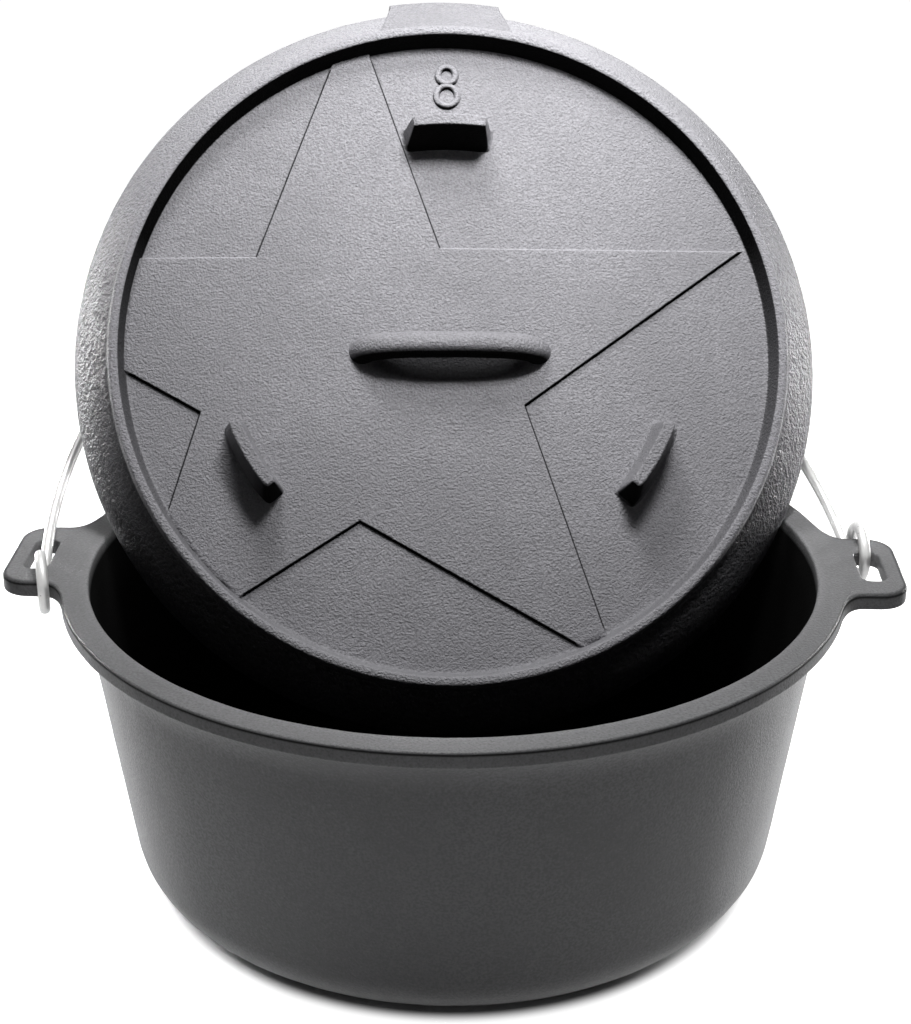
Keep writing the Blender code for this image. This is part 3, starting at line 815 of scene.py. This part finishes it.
class Nodes:
    """The node tree of a material or a world."""

    def __init__(self, owner):
        owner.use_nodes = True
        self.owner, self.tree = owner, owner.node_tree
        self.tree.nodes.clear()

    def add(self, kind, settings=None, inputs=None, output=0):
        """A node of this kind: its settings first, then the values or links of its sockets."""
        node = self.tree.nodes.new(kind)
        for key, value in (settings or {}).items():
            setattr(node, key, value)
        for key, value in (inputs or {}).items():
            if isinstance(value, Value):
                self.tree.links.new(value.socket, node.inputs[key])
            else:
                node.inputs[key].default_value = value
        return Value(self, node.outputs[output]) if len(node.outputs) else node

    def noise(self, place, scale, detail=2.0, roughness=0.5):
        """Smooth noise with about this many waves in a metre."""
        return self.add("ShaderNodeTexNoise", None, {"Vector": place, "Scale": scale,
                                                     "Detail": detail, "Roughness": roughness})

    def blend(self, factor, first, second):
        """Colour mixed from one to the other."""
        return self.add("ShaderNodeMix", {"data_type": "RGBA"}, {0: factor, 6: first, 7: second},
                        output=2)

    def principled(self, inputs):
        """A Principled shader with these values or links in its sockets."""
        return self.add("ShaderNodeBsdfPrincipled", None, inputs)

    def finish(self, shader):
        """The owner, with the shader led to its output."""
        self.add("ShaderNodeOutputMaterial", None, {"Surface": shader})
        return self.owner


def rgba(tone, gain=1.0):
    """A colour made lighter or darker by a factor, opaque."""
    return (*(min(channel * gain, 1.0) for channel in tone), 1.0)


def iron_finish(name, tone, grain_height, look):
    """Seasoned sand-cast iron: fine grain, coarser where marked so, soft patches of oil, dark
    and light specks, lighter where worn and where light is painted, and painted black as shade
    where so marked."""
    n = Nodes(bpy.data.materials.new(name))
    place = n.add("ShaderNodeTexCoord", output="Object")
    wear, soot, coarse = (n.add("ShaderNodeAttribute", {"attribute_name": mark}, output="Fac")
                          for mark in ("wear", "soot", "coarse"))
    grain = n.noise(place, 1000.0, 2.0, 0.6)
    lumps = n.noise(place, 400.0, 2.0, 0.55)
    peel = n.noise(place, 95.0)
    patch = n.noise(place, 16.0, 4.0, 0.6)
    speck = n.noise(place, 900.0)
    hollow = (1 - lumps.between(0.30, 0.46)) * (coarse * 0.5 + 0.1)
    base = n.blend(patch.between(0.32, 0.70), rgba(tone, 0.90), rgba(tone, 1.10))
    base = n.blend(speck.between(0.36, 0.58), rgba(tone, 0.84), base)
    base = n.blend(speck.between(0.58, 0.72) * 0.35, base, rgba(tone, 1.35))
    # Lighter where the mark of wear and painted light says.
    base = n.blend(wear * grain.between(0.30, 0.60), base, rgba(tone, 1.40))
    base = n.blend(hollow, base, rgba(tone, 0.55))
    rough = look.iron_roughness - 0.07 + patch * 0.14 + hollow * 0.15
    height = grain + peel * 0.3 + lumps * (0.15 + coarse * 1.6)
    bump = n.add("ShaderNodeBump", None, {"Strength": 1.0, "Distance": grain_height,
                                          "Height": height})
    bare = n.principled({"Base Color": base, "Roughness": rough, "Specular IOR Level": 0.16,
                         "Normal": bump})
    # Painted shade: this black shader is mixed in where the mark of painted shade says.
    black = n.principled({"Base Color": rgba(look.soot), "Roughness": 0.9,
                          "Specular IOR Level": 0.02, "Normal": bump})
    return n.finish(n.add("ShaderNodeMixShader", None, {0: soot, 1: bare, 2: black}))


def zinc_finish(look):
    """Plated wire: bright, with drawn streaks and dull spots."""
    n = Nodes(bpy.data.materials.new("bail_zinc"))
    place = n.add("ShaderNodeTexCoord", output="Object")
    streak = n.noise(place, 380.0, 3.0, 0.55)
    patch = n.noise(place, 60.0, 3.0, 0.6)
    base = n.blend(patch.between(0.35, 0.7), rgba(look.zinc, 1.06), rgba(look.zinc, 0.80))
    rough = look.zinc_roughness + (streak - 0.5) * 0.25 + (patch - 0.5) * 0.2
    bump = n.add("ShaderNodeBump", None, {"Strength": 0.4, "Distance": 0.0001,
                                          "Height": streak})
    return n.finish(n.principled({"Base Color": base, "Roughness": rough, "Metallic": 0.35,
                                  "Normal": bump}))


def seen_directly(nodes):
    """One for rays from the camera, gloss and glass, nought for the rest."""
    first, *more = (nodes.add("ShaderNodeLightPath", output=ray)
                    for ray in ("Is Camera Ray", "Is Glossy Ray", "Is Transmission Ray"))
    for ray in more:
        first = first.maths("MAXIMUM", first, ray)
    return first


FLOOR_SHADOW = (0.1272, 0.1360)  # from the pot's axis: where its shadow begins to fade, and ends


def floor_finish():
    """Pale sheet that the camera and mirrors see white; it keeps the shadow only near the pot, and
    farther out glows white to them, painted light that hides the shadow there.
    """
    n = Nodes(bpy.data.materials.new("floor_white"))
    seen = seen_directly(n)
    place = n.add("ShaderNodeTexCoord", output="Object")
    away = n.add("ShaderNodeVectorMath", {"operation": "LENGTH"}, {0: place}, output="Value")
    base = n.blend(seen, (0.60, 0.60, 0.60, 1.0), (0.80, 0.80, 0.80, 1.0))
    # Painted light: the glow, for camera and mirrors, beyond the ring round the pot.
    glow = n.blend(seen * away.between(*FLOOR_SHADOW), (0.0, 0.0, 0.0, 1.0), WHITE)
    return n.finish(n.principled({"Base Color": base, "Roughness": 1.0,
                                  "Specular IOR Level": 0.0, "Emission Color": glow,
                                  "Emission Strength": 1.0}))


def white_world(fill):
    """Plain fill light; the camera, gloss and glass see white."""
    world = bpy.data.worlds.new("surroundings")
    n = Nodes(world)
    seen = seen_directly(n)
    dim, bright = (n.add("ShaderNodeBackground", None, {"Color": WHITE, "Strength": strength})
                   for strength in (fill, 1.0))
    mixed = n.add("ShaderNodeMixShader", None, {0: seen, 1: dim, 2: bright})
    n.add("ShaderNodeOutputWorld", None, {"Surface": mixed})
    bpy.context.scene.world = world


# Operators

def lid_piece(name, grid, wear=0, soot=0, coarse=0):
    """A piece of the lid, made in the lid's frame and set where the lid leans. The first one
    makes the iron that all of them have."""
    scene, label = bpy.context.scene, "lid_iron_finish"
    look = scene.oven_finishes
    iron = (bpy.data.materials.get(label)
            or iron_finish(label, look.lid_iron, look.lid_grain, look))
    shaped = placed(grid.reshape(-1, 3), lid_frame(scene.oven_lid)).reshape(grid.shape)
    obj = skin(name, [shaped], iron, "lid", look.ripple, wear=[wear], soot=[soot],
               coarse=[coarse])
    return obj


class OVEN_OT_pot(bpy.types.Operator):
    """Cast the pot: body, flat rim and looped ears in one skin"""

    bl_idname = "oven.pot"
    bl_label = "Pot"

    def execute(self, context):
        look = context.scene.oven_finishes
        grids, wear, soot = pot_grids(context.scene.oven_pot)
        iron = iron_finish("pot_iron_finish", look.pot_iron, look.grain, look)
        obj = skin("pot_casting", grids, iron, "pot", look.ripple, wear=wear, soot=soot,
                   coarse=[0.0] * len(grids))
        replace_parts(obj, "pot")
        return {"FINISHED"}


class OVEN_OT_lid(bpy.types.Operator):
    """Cast the lid: floor, ring, shoulder, tab and the ring below"""

    bl_idname = "oven.lid"
    bl_label = "Lid"

    def execute(self, context):
        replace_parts(lid_piece("lid_casting", *lid_grids(context.scene.oven_lid)), "lid")
        return {"FINISHED"}


class OVEN_OT_lid_star(bpy.types.Operator):
    """Raise the five-pointed star on the lid's floor"""

    bl_idname = "oven.lid_star"
    bl_label = "Star"

    def execute(self, context):
        lid_piece("lid_star", *star_grid(context.scene.oven_lid))
        return {"FINISHED"}


class OVEN_OT_lid_legs(bpy.types.Operator):
    """Stand the three legs on the lid's floor"""

    bl_idname = "oven.lid_legs"
    bl_label = "Legs"

    def execute(self, context):
        for number, leg in enumerate(leg_grids(context.scene.oven_lid), 1):
            lid_piece(f"lid_leg_{number}", *leg)
        return {"FINISHED"}


class OVEN_OT_lid_arch(bpy.types.Operator):
    """Bend the lifting arch over the lid's middle"""

    bl_idname = "oven.lid_arch"
    bl_label = "Arch"

    def execute(self, context):
        lid_piece("lid_arch", *arch_grid(context.scene.oven_lid))
        return {"FINISHED"}


class OVEN_OT_lid_numeral(bpy.types.Operator):
    """Raise the size numeral near the tab"""

    bl_idname = "oven.lid_numeral"
    bl_label = "Numeral"

    def execute(self, context):
        for number, ring in enumerate(numeral_grids(context.scene.oven_lid), 1):
            lid_piece(f"lid_numeral_{number}", *ring)
        return {"FINISHED"}


class OVEN_OT_bail(bpy.types.Operator):
    """Bend the bail from one wire with an eye at each end"""

    bl_idname = "oven.bail"
    bl_label = "Bail"

    def execute(self, context):
        grid = bail_grid(context.scene.oven_bail)
        obj = skin("bail_wire", [grid], zinc_finish(context.scene.oven_finishes), "bail")
        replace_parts(obj, "bail")
        return {"FINISHED"}


# Soft boxes: name, place, point aimed at, side, the name of its power, and spread in degrees
SOFT_BOXES = (
    ("key_soft_box", (0.11, -0.17, 0.77), (0.03, 0.14, 0.33), 0.14, "key_power", 65),
    ("top_soft_box", (-0.08, 0.04, 0.86), (0.0, 0.05, 0.16), 0.20, "top_power", 180),
    ("side_soft_box_left", (-0.85, 0.70, 0.15), (-0.119, -0.06, 0.05), 0.24, "side_power", 26),
    ("side_soft_box_right", (0.85, 0.70, 0.15), (0.119, -0.06, 0.05), 0.24, "side_power", 26))


def soft_box(name, place, aim, size, power, spread):
    """A square area lamp at a place, facing a point, with its light kept to the spread."""
    lamp = bpy.data.lights.new(name, "AREA")
    lamp.shape, lamp.size, lamp.energy = "SQUARE", size, power
    lamp.spread = math.radians(spread)
    obj = bpy.data.objects.new(name, lamp)
    bpy.context.scene.collection.objects.link(obj)
    way = np.array(place) - np.array(aim)
    flat = math.hypot(way[0], way[1])
    obj.location = place
    obj.rotation_euler = (math.atan2(flat, way[2]), 0, math.atan2(way[0], -way[1]))


class OVEN_OT_stage(bpy.types.Operator):
    """Lay the floor, hang the soft boxes and set the camera"""

    bl_idname = "oven.stage"
    bl_label = "Stage"

    def execute(self, context):
        s = context.scene.oven_stage
        half, low = s.floor_half, -s.floor_drop
        mesh = bpy.data.meshes.new("floor")
        mesh.from_pydata([(-half, -half, low), (half, -half, low), (half, half, low),
                          (-half, half, low)], [], [(0, 1, 2, 3)])
        mesh.materials.append(floor_finish())
        floor = bpy.data.objects.new("floor", mesh)
        context.scene.collection.objects.link(floor)
        for name, place, aim, size, power, spread in SOFT_BOXES:
            soft_box(name, place, aim, size, getattr(s, power), spread)
        white_world(s.fill)
        lens = bpy.data.cameras.new("camera")
        lens.sensor_width, lens.lens = 36.0, s.focal
        camera = bpy.data.objects.new("camera", lens)
        camera.location = (s.eye_x, s.eye_y, s.eye_z)
        camera.rotation_euler = (math.pi / 2 - s.look_down, 0, s.look_turn)
        context.scene.collection.objects.link(camera)
        context.scene.camera = camera
        context.scene.view_settings.view_transform = "Standard"
        return {"FINISHED"}


class OVEN_PT_panel(bpy.types.Panel):
    """Lists the pieces of the camp oven"""

    bl_idname = "OVEN_PT_panel"
    bl_label = "Camp Oven"
    bl_space_type = "VIEW_3D"
    bl_region_type = "UI"
    bl_category = "Camp Oven"

    def draw(self, context):
        for operator in OPERATORS:
            self.layout.operator(operator.bl_idname)


GROUPS = {"oven_pot": PotSizes, "oven_lid": LidSizes, "oven_bail": BailSizes,
          "oven_finishes": Finishes, "oven_stage": StageSizes}
OPERATORS = (OVEN_OT_pot, OVEN_OT_lid, OVEN_OT_lid_star, OVEN_OT_lid_legs, OVEN_OT_lid_arch,
             OVEN_OT_lid_numeral, OVEN_OT_bail, OVEN_OT_stage)
CLASSES = (*GROUPS.values(), *OPERATORS, OVEN_PT_panel)


def register():
    for cls in CLASSES:
        bpy.utils.register_class(cls)
    for name, group in GROUPS.items():
        setattr(bpy.types.Scene, name, bpy.props.PointerProperty(type=group))


def unregister():
    for name in GROUPS:
        delattr(bpy.types.Scene, name)
    for cls in reversed(CLASSES):
        bpy.utils.unregister_class(cls)


def main():
    """Builds every piece and the stage."""
    register()
    bpy.ops.oven.pot()
    bpy.ops.oven.lid()
    bpy.ops.oven.lid_star()
    bpy.ops.oven.lid_legs()
    bpy.ops.oven.lid_arch()
    bpy.ops.oven.lid_numeral()
    bpy.ops.oven.bail()
    bpy.ops.oven.stage()


if __name__ == "__main__":
    main()
